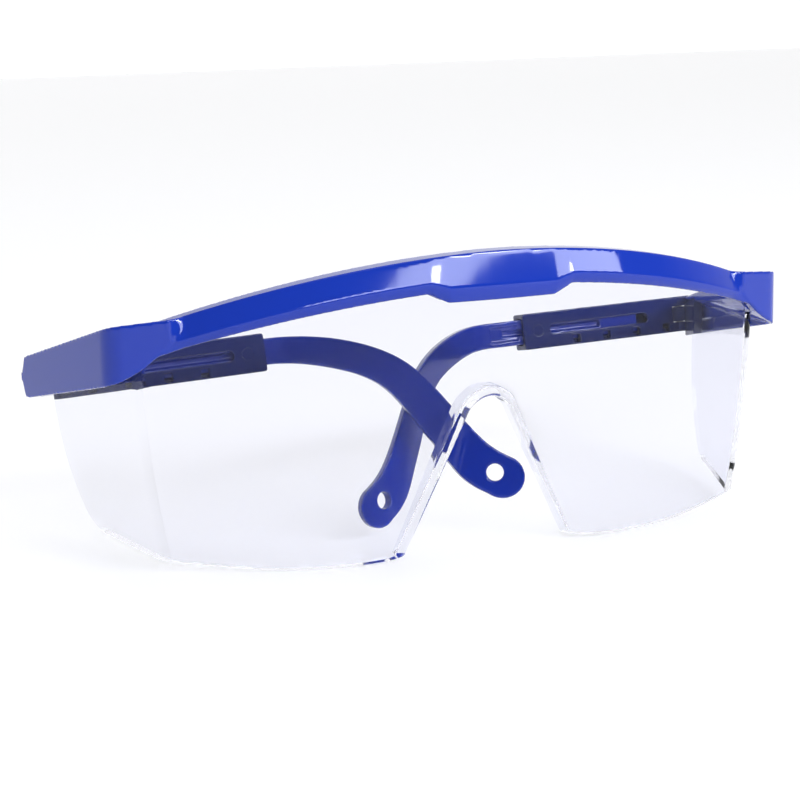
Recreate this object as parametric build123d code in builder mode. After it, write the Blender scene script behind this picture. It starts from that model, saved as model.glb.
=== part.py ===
"""Safety glasses: blue brow frame, one-piece clear lens, folding temples with sliding ear pieces.

Millimetres. +Z is up, the lens faces -Y, and X runs across the wearer's face. The rest position
is folded: the glasses stand on the lower edges of the lens with the temples crossed behind it.
Z = 0 is the lowest point of the lens and X = 0 is the plane of symmetry of the frame.
"""
import os
from math import cos, radians, sin, tan

from build123d import *

os.makedirs("parts", exist_ok=True)

LEFT, RIGHT = -1, 1                  # sign of X for the two sides
SIDE_NAME = {LEFT: "left", RIGHT: "right"}

# Blanks are extruded this far, then trimmed
blank_height, blank_depth, blank_reach = 70, 60, 90

# Lens: a front arc and two side shields, all one wall thickness
lens_thickness = 1.8
lens_apex_y = -23.6                  # front surface at X = 0, Z = 0
lens_lean = 0.049                    # forward lean of the front surface per mm of height
crease_y = -8.6                      # where the front turns into the side shield
crease_half_width = {-4: 59.6, 14: 63.0, 32: 64.9, 56: 64.9}
shield_flare = {-4: 0.34, 14: 0.25, 32: 0.227, 56: 0.227}
shield_blank_y = 40.0                # the blank runs on to here and is then trimmed
crease_radius = 3.6
lens_seat_depth = 3.0                # how far the lens goes up into the frame
lens_back_y = 24.9
lens_side_x = 61.2                   # the lower edge's last point, beside the crease
below_lens_z = -9                    # blanks start below the lens
# lower edge of the side shield in the side view, (y, z)
shield_toe, shield_heel, shield_knee = (-8.9, 2.2), (9.5, 3.8), (17.6, 8.2)
slot_clearance = 0.1

# Nose opening, and the wall that rolls back round it
nose_arch_radius = 5.0
nose_arch_centre_z = 25.0
nose_leg_angle = 24.9                # from vertical
nose_roll_radius = 4.6               # front edge of the opening
nose_wall_back_y = -17.0
nose_wall_width = 66.0               # nothing wider than this is trimmed behind the nose

# Brow bar: edge heights are given as z = height - drop * x^2
bar_apex_y, bar_side_x, bar_side_y = -28.8, 57.0, -15.0
bar_back_apex_y, bar_back_side_y = -22.9, -6.6
bar_half_width, bar_end_y = 64.0, -11.6
bar_top_z, bar_top_drop = 58.4, 0.0030
bar_low_z, bar_low_drop = 51.8, 0.0027
nose_lobe_z = 49.4                   # the bar is deeper over the nose
nose_lobe_inner_x, nose_lobe_outer_x = 10.75, 14.6

# Side arms of the frame, outside the shields; plan points first, then the side view
arm_front = (55.5, -15.6)
arm_corner = (70.4, -9.8)
arm_rear = (77.5, 30.0)
arm_corner_radius = 5.5
arm_inner_wall = 2.1
arm_top_front, arm_top_rear = (-13.7, 48.4), (28.0, 36.5)
arm_low_front, arm_low_rear = (-12.8, 37.1), (28.1, 28.2)
swoop_top_x, swoop_low_x = 57.4, 68.2

# Hinges: a tongue on the hinge block between two lugs of the temple sleeve
pin_x, pin_y, pin_z = 68.6, 27.7, 32.6
pin_rise = {LEFT: -0.9, RIGHT: 0.9}
pin_lean = {LEFT: 2.34, RIGHT: -1.43}
pin_rake = 10.9                      # the hinge axes lean back by this much
rest_fold = {LEFT: 9.6, RIGHT: 1.6}  # folded past square; the left lies in front
pin_radius = 0.9
pin_bore_radius = 0.96
knuckle_radius = 2.6
pocket_radius, pocket_rear, pocket_margin = 2.95, 4.0, 3.0
tongue_low, tongue_high = -1.85, 1.35
lug_gap = 0.12
block_front_y, block_filler_y, block_rear_y = 18.5, 25.0, 29.2
block_filler_width = 4.3
block_top_inset = 1.2

# Temple sleeve, in its own axes: s along it, k up, n towards the lens when folded
sleeve_start, sleeve_end = 2.75, 39.3
sleeve_low, sleeve_high = -4.07, 3.57
sleeve_half_thick = 2.2
cavity_start = 3.5
cavity_low, cavity_high = -3.0, 2.6
cavity_half_thick = 1.15
slot_start, slot_end, slot_height, slot_k = 9.0, 33.0, 2.1, -0.2
notch_pitch, notch_first, notch_count = 7.38, 4.7, 4
notch_size, notch_k, notch_floor_n = 1.7, -2.85, 0.6
peg_s, peg_radius, peg_shank_radius, peg_tip_n = 35.8, 1.15, 0.55, 0.1

# Ear piece, in the same axes, with the stem pulled out by one notch
stem_start, stem_end = 11.1, 46.7
stem_low, stem_high = -2.85, 2.45
ear_half_thick = 1.0
ear_bend_angle, ear_bend_radius = 36.0, 10.0
ear_tip_angle, ear_tip_radius = 26.0, 45.0
ear_straight = 24.0
rest_notch = {LEFT: 0, RIGHT: 1}
channel_start, channel_end = 20.4, 43.8
channel_height, channel_floor_n = 1.3, 0.0
recess_start, recess_end, recess_height, recess_depth = 40.0, 46.7, 3.2, 0.5
nib_s, nib_width, nib_height = 12.07, 1.3, 0.1
cord_hole = (85.0, -29.3)
cord_hole_radius = 1.7


# The parts are moved by this when saved, so the bounding box's bottom centre is the origin
origin_shift = Location((0, -1.07, -0.06))


def save(solid, label):
    """Name a finished piece and write it as a STEP file."""
    placed = solid.moved(origin_shift)
    placed.label = label
    export_step(placed, f"parts/{label}.step")


def edge_height(x, height, drop):
    """Height of a brow bar edge at x."""
    return height - drop * x * x


def on_line(y, front, rear):
    """Height at y of a straight edge given by two (y, z) points."""
    return front[1] + (y - front[0]) * (rear[1] - front[1]) / (rear[0] - front[0])


def shield_x(y, inset=0.0):
    """Outer face of the side shield where the frame holds it, moved inboard by inset."""
    return crease_half_width[56] + shield_flare[56] * (y - crease_y) - inset


# ---------------------------------------------------------------- lens
def lens_block(grow):
    """A solid block whose outside is the lens's outer surface moved out by grow."""
    with BuildPart() as block:
        for level, half_width in crease_half_width.items():
            apex = lens_apex_y - lens_lean * level - grow
            rear_half = half_width + shield_flare[level] * (shield_blank_y - crease_y)
            with BuildSketch(Plane.XY.offset(level)):
                with BuildLine():
                    front = ThreePointArc(
                        (-half_width - grow, crease_y), (0, apex), (half_width + grow, crease_y)
                    )
                    Polyline(
                        front @ 1,
                        (rear_half + grow, shield_blank_y),
                        (-rear_half - grow, shield_blank_y),
                        front @ 0,
                    )
                make_face()
                fillet(vertices().group_by(Axis.Y)[0], crease_radius + grow)
        loft()
    return block.part


def nose_prism(margin):
    """The nose opening cut straight through along Y, its edge moved out by margin."""
    angle = radians(nose_leg_angle)
    radius = nose_arch_radius + margin
    shoulder = (radius * cos(angle), nose_arch_centre_z + radius * sin(angle))
    foot = (shoulder[0] + (shoulder[1] - below_lens_z) * tan(angle), below_lens_z)
    with BuildPart() as prism:
        with BuildSketch(Plane.XZ):
            with BuildLine():
                arch = ThreePointArc(
                    (-shoulder[0], shoulder[1]), (0, nose_arch_centre_z + radius), shoulder
                )
                Polyline(arch @ 1, foot, (-foot[0], foot[1]), arch @ 0)
            make_face()
        extrude(amount=blank_depth, both=True)
    return prism.part


def rolled_block(grow):
    """The lens block with the nose opening cut through it and its front edge rounded."""
    with BuildPart() as block:
        add(lens_block(grow))
        add(nose_prism(-grow), mode=Mode.SUBTRACT)
        rim = [
            edge for edge in edges()
            if edge.center().Y < -20 and abs(edge.center().X) < 17
            and max(abs(end.X) for end in edge.vertices()) < 22
        ]
        fillet(rim, nose_roll_radius + grow)
    return block.part


def lens_outline(clearance):
    """Where lens is left after trimming: a front outline and a side outline, crossed."""
    top = lens_seat_depth + clearance
    with BuildPart() as limit:
        with BuildSketch(Plane.XZ):
            with BuildLine():
                lower = FilletPolyline(
                    (9, 0.9), (19.5, 0.9), (27.5, 0.15), (41, 0.0), (lens_side_x, 2.4),
                    radius=[2, 60, 90],
                )
                seat_ends = [
                    (x, edge_height(x, bar_low_z, bar_low_drop) + top)
                    for x in (blank_reach, blank_reach / 2, 0)
                ]
                Line((0, 0.9), lower @ 0)
                Polyline(
                    lower @ 1, (lens_side_x, below_lens_z), (blank_reach, below_lens_z), seat_ends[0]
                )
                ThreePointArc(*seat_ends)
                mirror(about=Plane.YZ)
            make_face()
        extrude(amount=blank_depth, both=True)
        with BuildSketch(Plane.YZ):
            with BuildLine():
                seat_rear = on_line(lens_back_y, arm_low_front, arm_low_rear) + top
                seat_front = on_line(crease_y, arm_low_front, arm_low_rear) + top
                back_top = (lens_back_y + clearance, seat_rear)
                Polyline(
                    back_top,
                    (crease_y, seat_front),
                    (crease_y, blank_height),
                    (-blank_depth, blank_height),
                    (-blank_depth, below_lens_z),
                    (shield_toe[0], below_lens_z),
                    shield_toe,
                    shield_heel,
                )
                ThreePointArc(shield_heel, (14.4, 5.1), shield_knee)
                ThreePointArc(shield_knee, (21.6, 15.0), back_top)
            make_face()
        extrude(amount=blank_reach, both=True, mode=Mode.INTERSECT)
    return limit.part


with BuildPart() as lens:
    add(rolled_block(0))
    add(rolled_block(-lens_thickness), mode=Mode.SUBTRACT)
    add(lens_outline(0), mode=Mode.INTERSECT)
    # the nose wall is trimmed off square at the back
    with Locations((0, nose_wall_back_y + blank_depth / 2, nose_arch_centre_z)):
        Box(nose_wall_width, blank_depth, blank_height, mode=Mode.SUBTRACT)
save(lens.part, "lens")


# ---------------------------------------------------------------- hinge and temple axes
def hinge_plane(side):
    """Plan view of a hinge: origin on the pin, X along the folded temple, Z up the pin."""
    rake, lean, fold = radians(pin_rake), radians(pin_lean[side]), radians(rest_fold[side])
    up = Vector(0, sin(rake), cos(rake))
    inboard = Vector(-side, 0, 0)
    forward = Vector(0, -cos(rake), sin(rake))
    along = inboard * cos(fold) + forward * sin(fold)
    return Plane(
        origin=(side * pin_x, pin_y, pin_z + pin_rise[side]),
        x_dir=along * cos(lean) + up * sin(lean),
        z_dir=up * cos(lean) - along * sin(lean),
    )


def temple_plane(side, n=0.0):
    """Front view of a temple at depth n: X along it, Y up it, seen from the lens side."""
    plan = hinge_plane(side)
    across = plan.z_dir.cross(plan.x_dir) * side
    return Plane(origin=plan.origin + across * n, x_dir=plan.x_dir, z_dir=across * -side)


def toward_lens(side, depth):
    """Extrude distance that carries a temple sketch by depth towards the lens."""
    return -side * depth


# ---------------------------------------------------------------- brow frame
arm_inset = lens_thickness + slot_clearance + arm_inner_wall

with BuildPart() as brow_bar:
    with BuildSketch(Plane.XY):
        with BuildLine():
            front = ThreePointArc(
                (-bar_side_x, bar_side_y), (0, bar_apex_y), (bar_side_x, bar_side_y)
            )
            back = ThreePointArc(
                (-bar_half_width, bar_back_side_y), (0, bar_back_apex_y),
                (bar_half_width, bar_back_side_y),
            )
            for half_width, end in ((bar_half_width, 1), (-bar_half_width, 0)):
                Polyline(front @ end, (half_width, bar_end_y), back @ end)
        make_face()
    extrude(amount=blank_height)
    with BuildSketch(Plane.XZ):
        with BuildLine():
            upper = ThreePointArc(*[
                (x, edge_height(x, bar_top_z, bar_top_drop)) for x in (0, 35, 70)
            ])
            lower = ThreePointArc(*[
                (x, edge_height(x, bar_low_z, bar_low_drop)) for x in (nose_lobe_outer_x, 40, 70)
            ])
            Line(upper @ 1, lower @ 1)
            lobe = Line((0, nose_lobe_z), (nose_lobe_inner_x, nose_lobe_z))
            Line(lobe @ 1, lower @ 0)
            mirror(about=Plane.YZ)
        make_face()
    extrude(amount=blank_depth, both=True, mode=Mode.INTERSECT)

with BuildPart() as side_arms:
    with BuildSketch(Plane.XY):
        with BuildLine():
            outer = FilletPolyline(arm_front, arm_corner, arm_rear, radius=arm_corner_radius)
            Polyline(
                outer @ 1,
                (shield_x(arm_rear[1], arm_inset), arm_rear[1]),
                (shield_x(bar_back_side_y, arm_inset), bar_back_side_y),
                (arm_front[0], bar_back_side_y),
                outer @ 0,
            )
        make_face()
        mirror(about=Plane.YZ)
    extrude(amount=blank_height)
    with BuildSketch(Plane.YZ):
        with BuildLine():
            rear_end = FilletPolyline(
                (-20, on_line(-20, arm_low_front, arm_low_rear)), arm_low_rear, (30, 32.3),
                arm_top_rear, (-20, on_line(-20, arm_top_front, arm_top_rear)),
                radius=[1.6, 3.0, 1.6],
            )
            Line(rear_end @ 1, rear_end @ 0)
        make_face()
    extrude(amount=blank_reach, both=True, mode=Mode.INTERSECT)
    # the shell's front edge sweeps down and out from the top of the bar
    with BuildSketch(Plane.XZ):
        with BuildLine():
            swoop = Spline(
                (swoop_top_x, 50.5), (58.0, 46.9), (61.3, 42.2), (65.0, 39.0),
                (swoop_low_x, arm_low_front[1]), (swoop_low_x + 2.0, 36.2),
            )
            Polyline(swoop @ 1, (swoop_low_x + 2.0, 20), (100, 20), (100, 50.5), swoop @ 0)
        make_face()
        mirror(about=Plane.YZ)
    extrude(amount=blank_depth, both=True, mode=Mode.INTERSECT)


def lens_sheet(clearance):
    """The lens without its nose roll, grown by a clearance: the slot it stands in."""
    with BuildPart() as sheet:
        add(lens_block(clearance))
        add(lens_block(-lens_thickness - clearance), mode=Mode.SUBTRACT)
        add(lens_outline(clearance), mode=Mode.INTERSECT)
    return sheet.part


def hinge_pocket(side):
    """Room in the frame for the hinge to turn, open inboard and to the rear."""
    with BuildPart() as pocket:
        with BuildSketch(hinge_plane(side).offset(sleeve_low - pocket_margin)):
            Circle(pocket_radius)
            with Locations((0, -side * pocket_rear / 2)):
                Rectangle(2 * pocket_radius, pocket_rear)
        extrude(amount=sleeve_high - sleeve_low + 2 * pocket_margin)
    return pocket.part


def block_envelope(side):
    """The room a hinge block takes up in the rear of an arm, before its pocket is cut."""
    inner = [shield_x(y, arm_inset) for y in (block_front_y, block_rear_y, block_filler_y)]
    with BuildPart() as envelope:
        with BuildSketch(Plane.XY):
            with BuildLine():
                Polyline(
                    (side * inner[0], block_front_y),
                    (side * inner[1], block_rear_y),
                    (side * (inner[1] + block_filler_width), block_rear_y),
                    (side * (inner[2] + block_filler_width), block_filler_y),
                    (side * (inner[2] + arm_inner_wall), block_filler_y),
                    (side * (inner[0] + arm_inner_wall), block_front_y),
                    close=True,
                )
            make_face()
        extrude(amount=blank_height)
        with BuildSketch(Plane.YZ):
            with BuildLine():
                corners = [
                    (y, on_line(y, front, rear) - inset)
                    for front, rear, inset, ys in (
                        (arm_low_front, arm_low_rear, 0, (0, 40)),
                        (arm_top_front, arm_top_rear, block_top_inset, (40, 0)),
                    )
                    for y in ys
                ]
                Polyline(*corners, close=True)
            make_face()
        extrude(amount=blank_reach, both=True, mode=Mode.INTERSECT)
    return envelope.part


with BuildPart() as brow_frame:
    add(brow_bar.part)
    add(side_arms.part)
    add(lens_sheet(slot_clearance), mode=Mode.SUBTRACT)
    for side in (LEFT, RIGHT):
        add(block_envelope(side), mode=Mode.SUBTRACT)
        add(hinge_pocket(side), mode=Mode.SUBTRACT)
save(brow_frame.part, "brow_frame")


# ---------------------------------------------------------------- hinges and temples
def hinge_block(side):
    """Block fixed in the rear of an arm, with the tongue that carries the pin."""
    plan = hinge_plane(side)
    web_length, web_width = 5.5, 3.4
    with BuildPart() as tongue:
        with BuildSketch(plan.offset(tongue_low)):
            Circle(knuckle_radius)
            with Locations((-web_length / 2, 0)):
                Rectangle(web_length, web_width)
        extrude(amount=tongue_high - tongue_low)
        add(hinge_pocket(side), mode=Mode.INTERSECT)
    with BuildPart() as block:
        add(block_envelope(side))
        add(hinge_pocket(side), mode=Mode.SUBTRACT)
        add(lens_sheet(slot_clearance), mode=Mode.SUBTRACT)
        add(tongue.part)
        with BuildSketch(plan.offset(sleeve_low)):
            Circle(pin_radius)
        extrude(amount=sleeve_high - sleeve_low, mode=Mode.SUBTRACT)
    return block.part


def hinge_pin(side):
    """Plain pin, flush with the outer faces of the two lugs."""
    with BuildPart() as pin:
        with BuildSketch(hinge_plane(side).offset(sleeve_low)):
            Circle(pin_radius)
        extrude(amount=sleeve_high - sleeve_low)
    return pin.part


def temple_sleeve(side):
    """Flat tube with two hinge lugs at one end, open at the other for the ear piece's stem."""
    plan = hinge_plane(side)
    middle_k = (sleeve_low + sleeve_high) / 2
    lugs = ((sleeve_low, tongue_low - lug_gap), (tongue_high + lug_gap, sleeve_high))
    with BuildPart() as sleeve:
        with BuildSketch(temple_plane(side, -sleeve_half_thick)):
            with Locations(((sleeve_start + sleeve_end) / 2, middle_k)):
                Rectangle(sleeve_end - sleeve_start, sleeve_high - sleeve_low)
                fillet(vertices(), 0.5)
        extrude(amount=toward_lens(side, 2 * sleeve_half_thick))
        for low, high in lugs:
            with BuildSketch(plan.offset(low)):
                Circle(knuckle_radius)
                with Locations(((sleeve_start + 0.6) / 2, 0)):
                    Rectangle(sleeve_start + 0.6, 2 * sleeve_half_thick)
            extrude(amount=high - low)
        with BuildSketch(plan.offset(sleeve_low)):
            Circle(pin_bore_radius)
        extrude(amount=sleeve_high - sleeve_low, mode=Mode.SUBTRACT)
        # cavity for the stem
        with BuildSketch(temple_plane(side, -cavity_half_thick)):
            with Locations((cavity_start + sleeve_end / 2, (cavity_low + cavity_high) / 2)):
                Rectangle(sleeve_end, cavity_high - cavity_low)
        extrude(amount=toward_lens(side, 2 * cavity_half_thick), mode=Mode.SUBTRACT)
        # viewing slot and the stop peg's hole, through the front wall
        with BuildSketch(temple_plane(side)):
            with Locations(((slot_start + slot_end) / 2, slot_k)):
                SlotOverall(slot_end - slot_start, slot_height)
            with Locations((peg_s, slot_k)):
                Circle(peg_radius)
        extrude(amount=toward_lens(side, 3), mode=Mode.SUBTRACT)
        # notches the ear piece clicks into
        with BuildSketch(temple_plane(side, notch_floor_n)):
            with Locations([(notch_first + i * notch_pitch, notch_k) for i in range(notch_count)]):
                Rectangle(notch_size, notch_size)
        extrude(amount=toward_lens(side, 3), mode=Mode.SUBTRACT)
    return sleeve.part


def stop_peg(side):
    """Headed peg pressed into the sleeve's front wall; its shank rides in the stem's channel."""
    with BuildPart() as peg:
        with BuildSketch(temple_plane(side, cavity_half_thick)):
            with Locations((peg_s, slot_k)):
                Circle(peg_radius)
        extrude(amount=toward_lens(side, sleeve_half_thick - cavity_half_thick))
        with BuildSketch(temple_plane(side, peg_tip_n)):
            with Locations((peg_s, slot_k)):
                Circle(peg_shank_radius)
        extrude(amount=toward_lens(side, cavity_half_thick - peg_tip_n))
    return peg.part


# ---------------------------------------------------------------- ear pieces
def ear_outline(side):
    """Front view of an ear piece: straight stem, then a strip that curves down to its tip."""
    with BuildPart() as blank:
        with BuildSketch(temple_plane(side, -5)):
            with BuildLine():
                upper = Spline(
                    (stem_end, stem_high), (59.6, 0.7), (71.2, -5.4), (77.4, -13.6),
                    (82.6, -21.6), (88.6, -27.0),
                    tangents=[(1, 0), (1, -0.6)],
                )
                lower = Spline(
                    (stem_end, stem_low), (58.0, -4.9), (66.9, -9.8), (71.5, -16.8),
                    (76.6, -25.9), (83.2, -33.3),
                    tangents=[(1, 0), (1, -0.6)],
                )
                ThreePointArc(upper @ 1, (89.3, -33.1), lower @ 1)
                Polyline(
                    upper @ 0, (stem_start, stem_high), (stem_start, stem_low), lower @ 0
                )
            make_face()
        extrude(amount=toward_lens(side, 50))
    return blank.part


def ear_ribbon(side):
    """Plan view of an ear piece: a strip of even thickness, bent towards the lens."""
    bend, tip = radians(ear_bend_angle), radians(ear_bend_angle - ear_tip_angle)
    straight = Vector(cos(bend), side * sin(bend)) * ear_straight
    with BuildPart() as blank:
        with BuildSketch(hinge_plane(side).offset(-50)):
            with BuildLine():
                Line((stem_start - 1, 0), (stem_end, 0))
                turn = CenterArc(
                    (stem_end, side * ear_bend_radius), ear_bend_radius,
                    -side * 90, side * ear_bend_angle,
                )
                strip = Line(turn @ 1, turn @ 1 + straight)
                flat = TangentArc(
                    strip @ 1,
                    strip @ 1 + ear_tip_radius * Vector(
                        sin(bend) - sin(tip), side * (cos(tip) - cos(bend))
                    ),
                    tangent=strip % 1,
                )
                Line(flat @ 1, flat @ 1 + 8 * Vector(cos(tip), side * sin(tip)))
            trace(line_width=2 * ear_half_thick)
        extrude(amount=blank_height)
    return blank.part


def cord_hole_plane(side):
    """Plane across the strip at the cord hole, square to its face."""
    bend = radians(ear_bend_angle)
    start_s = stem_end + ear_bend_radius * sin(bend) + ear_straight * cos(bend)
    start_n = ear_bend_radius * (1 - cos(bend)) + ear_straight * sin(bend)
    sin_here = sin(bend) - (cord_hole[0] - start_s) / ear_tip_radius
    cos_here = (1 - sin_here ** 2) ** 0.5
    n_here = start_n + ear_tip_radius * (cos_here - cos(bend))
    face = temple_plane(side, n_here)
    across = face.z_dir * -side
    return Plane(
        origin=face.origin + face.x_dir * cord_hole[0] + face.y_dir * cord_hole[1],
        x_dir=face.x_dir * cos_here + across * sin_here,
        z_dir=across * cos_here - face.x_dir * sin_here,
    )


def ear_piece(side):
    """Stem and ear strip in one, drawn one notch out and then moved to its rest notch."""
    with BuildPart() as piece:
        add(ear_outline(side))
        add(ear_ribbon(side), mode=Mode.INTERSECT)
        # channel the stop peg rides in, inside a shallower recess at the strip's root
        with BuildSketch(temple_plane(side, channel_floor_n)):
            with Locations(((channel_start + channel_end) / 2, slot_k)):
                Rectangle(channel_end - channel_start, channel_height)
        extrude(amount=toward_lens(side, ear_half_thick), mode=Mode.SUBTRACT)
        with BuildSketch(temple_plane(side, ear_half_thick - recess_depth)):
            with Locations(((recess_start + recess_end) / 2, slot_k)):
                Rectangle(recess_end - recess_start, recess_height)
        extrude(amount=toward_lens(side, recess_depth), mode=Mode.SUBTRACT)
        # nib that clicks into the sleeve's notches
        with BuildSketch(temple_plane(side, -ear_half_thick)):
            with Locations((nib_s, stem_low)):
                Rectangle(nib_width, 2 * nib_height)
        extrude(amount=toward_lens(side, 2 * ear_half_thick))
        with BuildSketch(cord_hole_plane(side)):
            Circle(cord_hole_radius)
        extrude(amount=6, both=True, mode=Mode.SUBTRACT)
    shift = (rest_notch[side] - 1) * notch_pitch
    return piece.part.moved(Location(hinge_plane(side).x_dir * shift))


for side, name in SIDE_NAME.items():
    pieces = {
        "hinge_block": hinge_block(side),
        "hinge_pin": hinge_pin(side),
        "temple_sleeve": temple_sleeve(side),
        "stop_peg": stop_peg(side),
        "ear_piece": ear_piece(side),
    }
    for kind, solid in pieces.items():
        save(solid, f"{kind}_{name}")
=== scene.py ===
"""Looks for the folding safety glasses: blue brow frame, clear wraparound lens, sliding temples."""

import math

import bpy
import numpy as np
from mathutils import Matrix, Vector


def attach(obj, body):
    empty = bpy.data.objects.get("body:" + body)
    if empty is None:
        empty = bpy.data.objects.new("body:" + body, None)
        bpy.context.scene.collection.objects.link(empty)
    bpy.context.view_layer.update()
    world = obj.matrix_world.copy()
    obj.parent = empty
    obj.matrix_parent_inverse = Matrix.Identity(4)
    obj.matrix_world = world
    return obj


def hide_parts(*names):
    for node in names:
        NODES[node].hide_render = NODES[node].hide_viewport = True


MM = 0.001
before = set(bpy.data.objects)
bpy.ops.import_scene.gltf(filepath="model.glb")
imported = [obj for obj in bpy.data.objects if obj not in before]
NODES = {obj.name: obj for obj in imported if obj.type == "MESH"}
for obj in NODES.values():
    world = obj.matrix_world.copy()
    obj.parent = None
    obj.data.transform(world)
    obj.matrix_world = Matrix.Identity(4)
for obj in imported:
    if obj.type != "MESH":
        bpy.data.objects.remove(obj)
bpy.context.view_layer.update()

# Brow bar outline in millimetres, in the row frame: the same curves the solid part is cut from
SHIFT_Y, SHIFT_Z = -1.07, -0.06
BAR_APEX_Y, BAR_RADIUS = -28.8 + SHIFT_Y, 124.6
BAR_TOP_Z, BAR_TOP_DROP = 58.4 + SHIFT_Z, 0.0030
BAR_LOW_Z, BAR_LOW_DROP = 51.8 + SHIFT_Z, 0.0027
NOSE_LOBE_Z, NOSE_LOBE_INNER_X, NOSE_LOBE_OUTER_X = 49.4 + SHIFT_Z, 10.75, 14.6


# ---------------------------------------------------------------- materials
def material(name):
    """A new material, and its shader."""
    mat = bpy.data.materials.new(name)
    mat.use_nodes = True
    return mat, mat.node_tree.nodes["Principled BSDF"]


def blue_plastic(name, color):
    """Deep gloss plastic."""
    mat, shader = material(name)
    shader.inputs["Base Color"].default_value = (*color, 1)
    shader.inputs["Roughness"].default_value = 0.06
    shader.inputs["IOR"].default_value = 1.5
    shader.inputs["Specular IOR Level"].default_value = 0.5
    return mat


def clear_plastic(name):
    """Clear moulding: a low index keeps what is seen through it in place, the coat gives its gloss."""
    mat, shader = material(name)
    shader.inputs["Base Color"].default_value = (0.885, 0.888, 0.93, 1)
    shader.inputs["Roughness"].default_value = 0.0
    shader.inputs["IOR"].default_value = 1.10
    shader.inputs["Transmission Weight"].default_value = 1.0
    shader.inputs["Coat Weight"].default_value = 0.2
    shader.inputs["Coat Roughness"].default_value = 0.0
    shader.inputs["Coat IOR"].default_value = 1.5
    return mat


def steel(name):
    """Drawn steel of the hinge pins."""
    mat, shader = material(name)
    shader.inputs["Base Color"].default_value = (0.5, 0.51, 0.54, 1)
    shader.inputs["Metallic"].default_value = 1.0
    shader.inputs["Roughness"].default_value = 0.3
    return mat


FRAME_BLUE = blue_plastic("frame_blue", (0.002, 0.026, 0.32))
TEMPLE_BLUE = blue_plastic("temple_blue", (0.003, 0.010, 0.09))
EAR_BLUE = blue_plastic("ear_blue", (0.003, 0.020, 0.25))
LENS_CLEAR = clear_plastic("lens_clear")
PIN_STEEL = steel("pin_steel")


def paint(obj, mat):
    """Give the whole object one material."""
    obj.data.materials.clear()
    obj.data.materials.append(mat)


# ---------------------------------------------------------------- rounded copies of CAD nodes
# Mesh size in millimetres and smoothing passes: the smaller the detail, the finer the mesh
FRAME_MESH = (0.3, 5)
EAR_MESH = (0.2, 6)
SLEEVE_MESH = (0.13, 4)

# The bar's front face, in millimetres: how far it leans back and tucks under, and how deep it reaches
BAR_LEAN, BAR_TUCK, BAR_FACE_DEPTH = 1.7, 0.9, 2.3
BAR_CREST = 0.32                     # height of the crest, as a share of the bar's height
BAR_FACE_HALF_WIDTH, BAR_FACE_FADE = 60, 3
ARC_HALF_WIDTH = 80                  # the front arc's formula holds up to here


def rounded_copy(node, body, mat, mesh_setting):
    """A fine, evenly meshed copy of a node with its edges softened; it stands for the node."""
    voxel, passes = mesh_setting
    copy = NODES[node].copy()
    copy.data = NODES[node].data.copy()
    copy.parent = None
    bpy.context.scene.collection.objects.link(copy)
    remesh = copy.modifiers.new("even", "REMESH")
    remesh.mode = "VOXEL"
    remesh.voxel_size = voxel * MM
    soften = copy.modifiers.new("soften", "SMOOTH")
    soften.factor = 0.5
    soften.iterations = passes
    bpy.context.view_layer.update()
    graph = bpy.context.evaluated_depsgraph_get()
    mesh = bpy.data.meshes.new_from_object(copy.evaluated_get(graph))
    bpy.data.objects.remove(copy)
    obj = bpy.data.objects.new("look_" + node, mesh)
    bpy.context.scene.collection.objects.link(obj)
    mesh.shade_smooth()
    paint(obj, mat)
    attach(obj, body)
    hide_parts(node)
    return obj


def vertices_mm(obj):
    """The mesh's points as rows of x, y, z."""
    points = np.empty(len(obj.data.vertices) * 3, np.float64)
    obj.data.vertices.foreach_get("co", points)
    return points.reshape(-1, 3) / MM


def set_vertices_mm(obj, points):
    """Move the mesh's points to these rows of x, y, z."""
    obj.data.vertices.foreach_set("co", (points * MM).ravel())
    obj.data.update()


def bar_bottom(x):
    """Height of the bar's lower edge, with the lobe over the nose."""
    side = BAR_LOW_Z - BAR_LOW_DROP * x ** 2
    reach = (NOSE_LOBE_OUTER_X - np.abs(x)) / (NOSE_LOBE_OUTER_X - NOSE_LOBE_INNER_X)
    lobe = np.clip(reach, 0, 1)
    return side + (NOSE_LOBE_Z - side) * lobe


def shape_bar_face(obj):
    """Lean the bar's front face back above a crest line and tuck it under below the crest."""
    points = vertices_mm(obj)
    x, y, z = points.T
    on_arc = np.minimum(x ** 2, ARC_HALF_WIDTH ** 2)
    front = BAR_APEX_Y + BAR_RADIUS - np.sqrt(BAR_RADIUS ** 2 - on_arc)
    top = BAR_TOP_Z - BAR_TOP_DROP * x ** 2
    bottom = bar_bottom(x)
    height = np.clip((z - bottom) / (top - bottom), 0, 1)
    above = np.clip((height - BAR_CREST) / (1 - BAR_CREST), 0, 1)
    below = np.clip((BAR_CREST - height) / BAR_CREST, 0, 1)
    depth = np.clip(1 - (y - front) / BAR_FACE_DEPTH, 0, 1)
    on_bar = np.clip((BAR_FACE_HALF_WIDTH - np.abs(x)) / BAR_FACE_FADE, 0, 1)
    points[:, 1] = y + (BAR_LEAN * above + BAR_TUCK * below ** 1.5) * depth * on_bar
    set_vertices_mm(obj, points)


look_frame = rounded_copy("brow_frame", "front", FRAME_BLUE, FRAME_MESH)
shape_bar_face(look_frame)
for side in ("left", "right"):
    rounded_copy("ear_piece_" + side, "ear_" + side, EAR_BLUE, EAR_MESH)
    rounded_copy("temple_sleeve_" + side, "temple_" + side, TEMPLE_BLUE, SLEEVE_MESH)
    for node in ("hinge_block_", "stop_peg_"):
        paint(NODES[node + side], TEMPLE_BLUE)
    paint(NODES["hinge_pin_" + side], PIN_STEEL)
paint(NODES["lens"], LENS_CLEAR)
NODES["lens"].data.shade_smooth()


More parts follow.
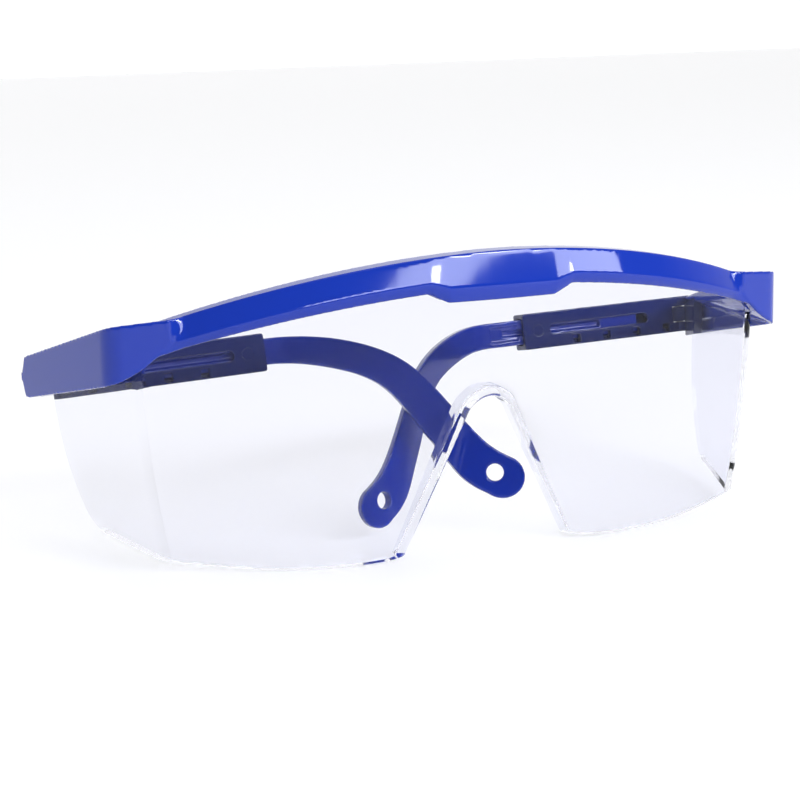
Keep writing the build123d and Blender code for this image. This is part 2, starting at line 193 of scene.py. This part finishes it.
# ---------------------------------------------------------------- stage, light and camera
LIGHT_AIM = Vector((0, 0, 0.03))
STAGE_SIZE, WALL_Y = 12.0, 1.8
FLOOR_Z = -0.0001                    # just under the lens, so the two don't coincide


def stage_plane(name, location, color):
    """A large matt square."""
    bpy.ops.mesh.primitive_plane_add(size=STAGE_SIZE, location=location)
    obj = bpy.context.object
    obj.name = name
    mat, shader = material(name)
    shader.inputs["Base Color"].default_value = (*color, 1)
    shader.inputs["Roughness"].default_value = 0.6
    obj.data.materials.append(mat)
    return obj


def softbox(name, azimuth, elevation, distance, size, power, color=(1, 1, 1)):
    """A rectangular light aimed at the object; azimuth 0 is in front of the lens."""
    data = bpy.data.lights.new(name, "AREA")
    data.shape = "RECTANGLE"
    data.size, data.size_y = size
    data.energy = power
    data.color = color
    light = bpy.data.objects.new(name, data)
    a, e = math.radians(azimuth), math.radians(elevation)
    away = Vector((math.sin(a) * math.cos(e), -math.cos(a) * math.cos(e), math.sin(e)))
    light.location = LIGHT_AIM + away * distance
    light.rotation_euler = away.to_track_quat("Z", "Y").to_euler()
    bpy.context.scene.collection.objects.link(light)


def self_lit(obj, strength):
    """Give a stage surface some light of its own, so it stays near white in the picture."""
    shader = obj.data.materials[0].node_tree.nodes["Principled BSDF"]
    shader.inputs["Emission Color"].default_value = (1, 1, 1, 1)
    shader.inputs["Emission Strength"].default_value = strength


floor = stage_plane("floor", (0, 0, FLOOR_Z), (0.5, 0.5, 0.51))
self_lit(floor, 0.50)
wall = stage_plane("wall", (0, WALL_Y, 0), (0.5, 0.5, 0.5))
wall.rotation_euler = (math.pi / 2, 0, 0)
self_lit(wall, 0.72)


def studio_world(front, behind):
    """A world that is dim in front of the lens and bright behind the object."""
    world = bpy.data.worlds.new("studio")
    world.use_nodes = True
    tree = world.node_tree
    direction = tree.nodes.new("ShaderNodeTexCoord")
    split = tree.nodes.new("ShaderNodeSeparateXYZ")
    ramp = tree.nodes.new("ShaderNodeMapRange")
    ramp.inputs["From Min"].default_value = -0.25
    ramp.inputs["From Max"].default_value = 0.35
    ramp.inputs["To Min"].default_value = front
    ramp.inputs["To Max"].default_value = behind
    background = tree.nodes["Background"]
    tree.links.new(direction.outputs["Generated"], split.inputs["Vector"])
    tree.links.new(split.outputs["Y"], ramp.inputs["Value"])
    tree.links.new(ramp.outputs["Result"], background.inputs["Strength"])
    background.inputs["Color"].default_value = (1, 1, 1, 1)
    bpy.context.scene.world = world


studio_world(front=0.25, behind=1.05)
softbox("brow_band", 19, 28, 0.9, (1.4, 0.20), 9, color=(0.80, 0.85, 1.0))
softbox("brow_streak", 26, 29, 0.8, (0.30, 0.06), 1.4)
softbox("overhead", 20, 80, 1.2, (1.2, 1.2), 2.5)

# Camera: angles in degrees, target in millimetres, distance in metres
AZIMUTH, ELEVATION, ROLL = math.radians(-22.66), math.radians(11.51), math.radians(-1.11)
TARGET = Vector((-11.75, -6.47, 27.48)) * MM
DISTANCE = 0.4182
FOCAL_LENGTH, SENSOR_WIDTH = 97.43, 36
back = Vector((
    math.sin(AZIMUTH) * math.cos(ELEVATION),
    -math.cos(AZIMUTH) * math.cos(ELEVATION),
    math.sin(ELEVATION),
))
right = Vector((0, 0, 1)).cross(back).normalized()
up = back.cross(right)
right, up = (
    right * math.cos(ROLL) + up * math.sin(ROLL),
    up * math.cos(ROLL) - right * math.sin(ROLL),
)
camera_data = bpy.data.cameras.new("camera")
camera_data.sensor_width = SENSOR_WIDTH
camera_data.lens = FOCAL_LENGTH
camera_data.clip_start = 0.01
camera = bpy.data.objects.new("camera", camera_data)
turn = Matrix((right, up, back)).transposed().to_4x4()
camera.matrix_world = Matrix.Translation(TARGET + back * DISTANCE) @ turn
bpy.context.scene.collection.objects.link(camera)
bpy.context.scene.camera = camera
bpy.context.scene.view_settings.view_transform = "Standard"
